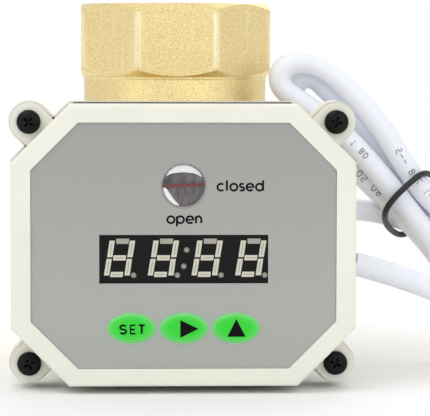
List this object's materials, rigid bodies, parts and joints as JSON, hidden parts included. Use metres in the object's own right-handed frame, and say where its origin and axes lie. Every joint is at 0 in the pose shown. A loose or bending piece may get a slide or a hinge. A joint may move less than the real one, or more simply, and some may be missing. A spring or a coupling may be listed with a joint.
{
  "type": "motorized ball valve",
  "caption": "Brass DN32 ball valve with a cream electric timer actuator, digital display, green keys and a tied white cable.",
  "frame": {"origin": "centre of the lower port's face, on the flow axis", "axes": "+Z along the flow axis, towards the upper port; -Y towards the display; +X to the right as seen from the front"},
  "size_m": [0.1423, 0.1151, 0.0924],
  "materials": {
    "brass_casting": "matte",
    "cream_plastic": "satin",
    "grey_film": "satin",
    "green_key": "satin",
    "black_screw": "gloss",
    "plated_steel": "satin",
    "polished_ball": "gloss",
    "seat_polymer": "matte",
    "seal_rubber": "matte",
    "gear_nylon": "satin",
    "board_laminate": "satin",
    "display_black": "gloss",
    "clear_lens": "gloss",
    "white_cable": "satin",
    "black_tie": "satin",
    "black_plastic": "satin",
    "red_paint": "satin"
  },
  "bodies": {
    "fixed": {"valve_body": "brass_casting", "end_connector": "brass_casting", "body_gasket": "seal_rubber", "lower_seat": "seat_polymer", "upper_seat": "seat_polymer", "thrust_washer": "seat_polymer", "mounting_screws": "plated_steel", "base_housing": "cream_plastic", "front_cover": "cream_plastic", "cover_gasket": "seal_rubber", "cover_screws": "black_screw", "faceplate": "grey_film", "window_lens": "clear_lens", "control_board": "board_laminate", "board_screws": "plated_steel", "display_module": "display_black", "key_switches": "black_plastic", "power_board": "board_laminate", "gear_plate": "plated_steel", "plate_screws": "plated_steel", "idler_pin": "plated_steel", "gear_head": "plated_steel", "motor_can": "plated_steel", "closed_limit_switch": "black_plastic", "open_limit_switch": "black_plastic", "cable_gland": "cream_plastic", "cable_feed": "white_cable", "cable_tail": "white_cable", "cable_hank": "white_cable", "cable_tie": "black_tie", "lead_wires": "plated_steel"},
    "valve_train": {"ball": "polished_ball", "stem": "plated_steel", "stem_o_rings": "seal_rubber", "output_gear": "gear_nylon", "indicator_shaft": "plated_steel", "limit_cam": "gear_nylon", "indicator_disc": "black_plastic", "indicator_bar": "red_paint"},
    "idler": {"idler_gear": "gear_nylon"},
    "motor_drive": {"drive_pinion": "gear_nylon", "motor_shaft_rod": "plated_steel"},
    "set_key": {"set_button": "green_key"},
    "next_key": {"next_button": "green_key"},
    "up_key": {"up_button": "green_key"}
  },
  "joints": [
    {"name": "valve_turn", "type": "hinge", "parent": "fixed", "child": "valve_train", "pos_m": [0, -0.04, 0.0488], "axis": [0, 1, 0], "range_deg": [0, 90]},
    {"name": "idler_turn", "type": "hinge", "parent": "fixed", "child": "idler", "pos_m": [-0.00671, -0.044, 0.03167], "axis": [0, 1, 0], "continuous": true},
    {"name": "motor_turn", "type": "hinge", "parent": "fixed", "child": "motor_drive", "pos_m": [0.00432, -0.048, 0.02241], "axis": [0, 1, 0], "continuous": true},
    {"name": "set_press", "type": "slide", "parent": "fixed", "child": "set_key", "axis": [0, 1, 0], "range_m": [0, 0.00035], "stiffness_N_per_m": 500},
    {"name": "next_press", "type": "slide", "parent": "fixed", "child": "next_key", "axis": [0, 1, 0], "range_m": [0, 0.00035], "stiffness_N_per_m": 500},
    {"name": "up_press", "type": "slide", "parent": "fixed", "child": "up_key", "axis": [0, 1, 0], "range_m": [0, 0.00035], "stiffness_N_per_m": 500}
  ],
  "couplings": [
    {"joint": "idler_turn", "follows": "valve_turn", "ratio": -3.6},
    {"joint": "motor_turn", "follows": "valve_turn", "ratio": 10.8}
  ]
}
